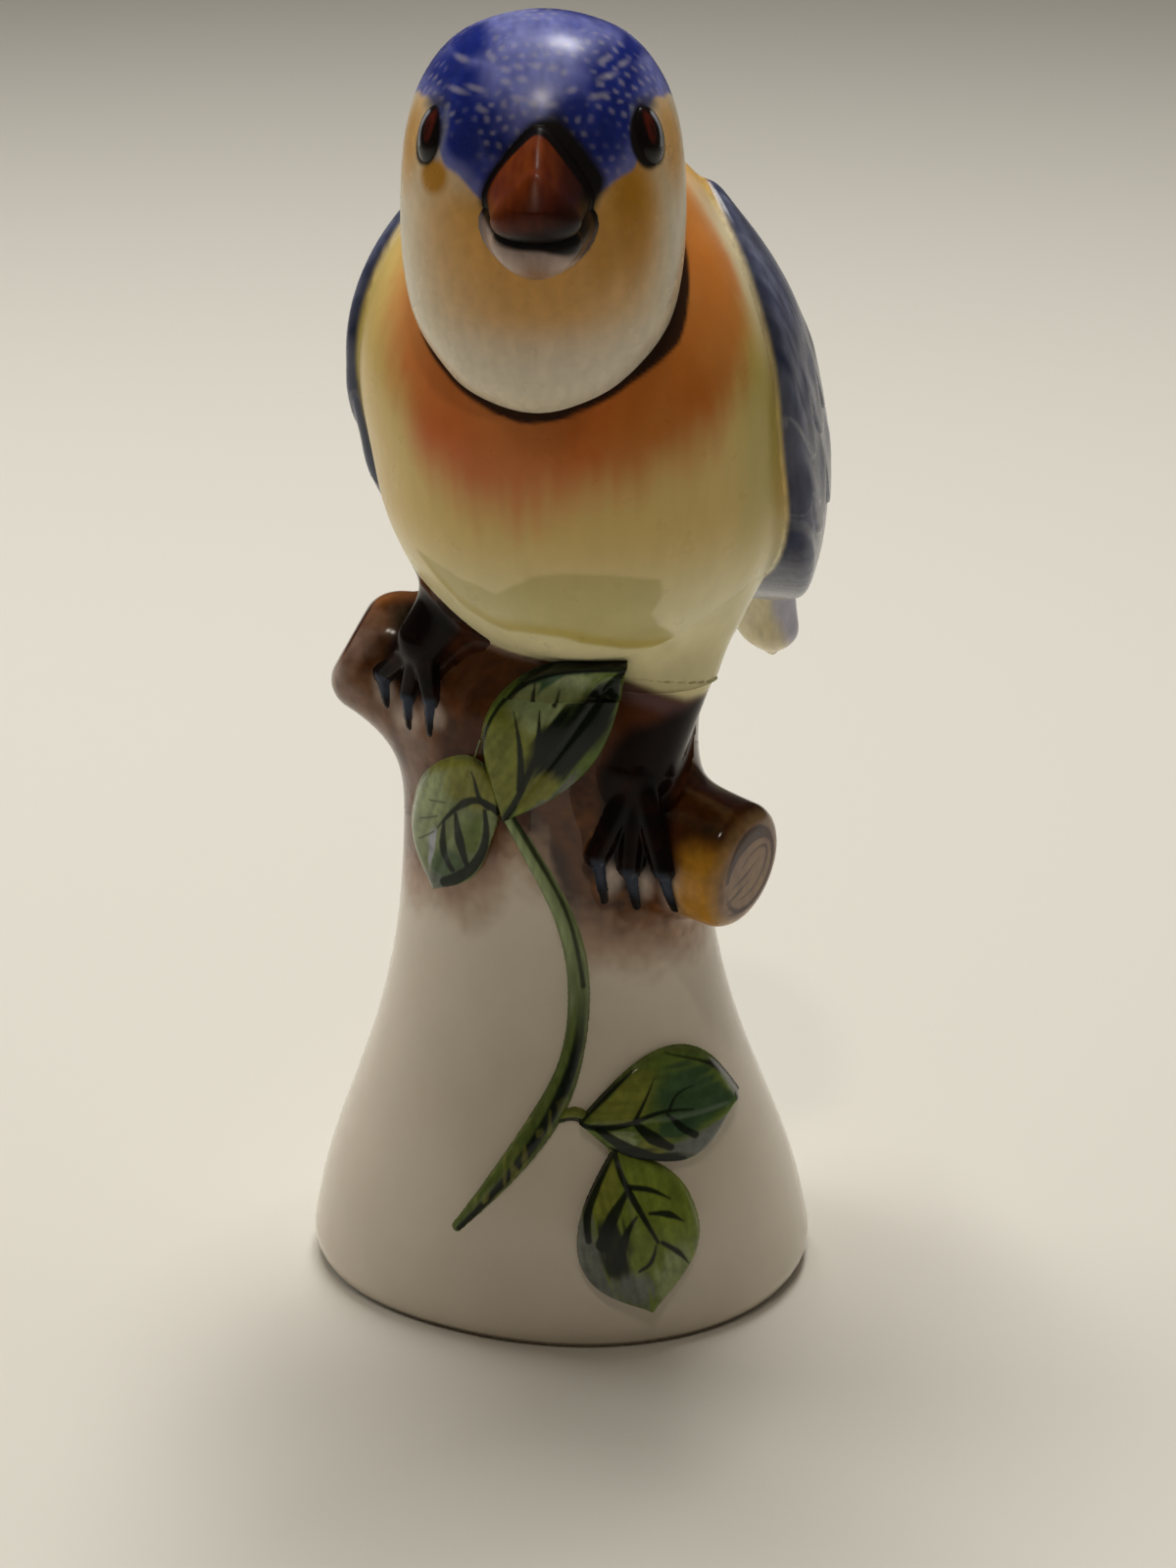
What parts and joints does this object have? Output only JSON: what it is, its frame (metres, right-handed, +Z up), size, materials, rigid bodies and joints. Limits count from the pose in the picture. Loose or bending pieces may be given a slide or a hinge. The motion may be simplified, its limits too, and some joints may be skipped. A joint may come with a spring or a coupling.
{
  "type": "porcelain bird figurine",
  "caption": "Glazed porcelain songbird perched on a flared tree stump with sawn branch stubs, raised leaves and a stem.",
  "frame": {"origin": "centre of the foot ring, on the plane it stands on", "axes": "+Z up through the stump to the bird's head, -Y the way the bird's beak points, +X the bird's left"},
  "size_m": [0.0634, 0.0818, 0.1599],
  "materials": {
    "glaze_white": "glossy glaze",
    "bisque_foot": "unglazed",
    "bark_brown": "glossy glaze",
    "breast_paint": "glossy glaze",
    "crown_paint": "glossy glaze",
    "beak_paint": "glossy glaze",
    "mandible_paint": "glossy glaze",
    "eye_paint": "glossy glaze",
    "wing_paint": "glossy glaze",
    "tail_paint": "glossy glaze",
    "leg_paint": "glossy glaze",
    "leaf_paint": "glossy glaze",
    "stem_paint": "glossy glaze"
  },
  "bodies": {
    "root": {"stump_shell": "glaze_white", "base_floor": "bisque_foot", "branch_stub_left": "bark_brown", "branch_stub_right": "bark_brown", "body_shell": "breast_paint", "head_shell": "crown_paint", "beak_upper": "beak_paint", "beak_lower": "mandible_paint", "eye_left": "eye_paint", "eye_right": "eye_paint", "wing_left": "wing_paint", "wing_right": "wing_paint", "tail": "tail_paint", "leg_left": "leg_paint", "leg_right": "leg_paint", "foot_left": "leg_paint", "foot_right": "leg_paint", "stem": "stem_paint", "twig": "stem_paint", "leaf_upper_large": "leaf_paint", "leaf_upper_small": "leaf_paint", "leaf_lower_side": "leaf_paint", "leaf_lower_tip": "leaf_paint"}
  },
  "joints": []
}
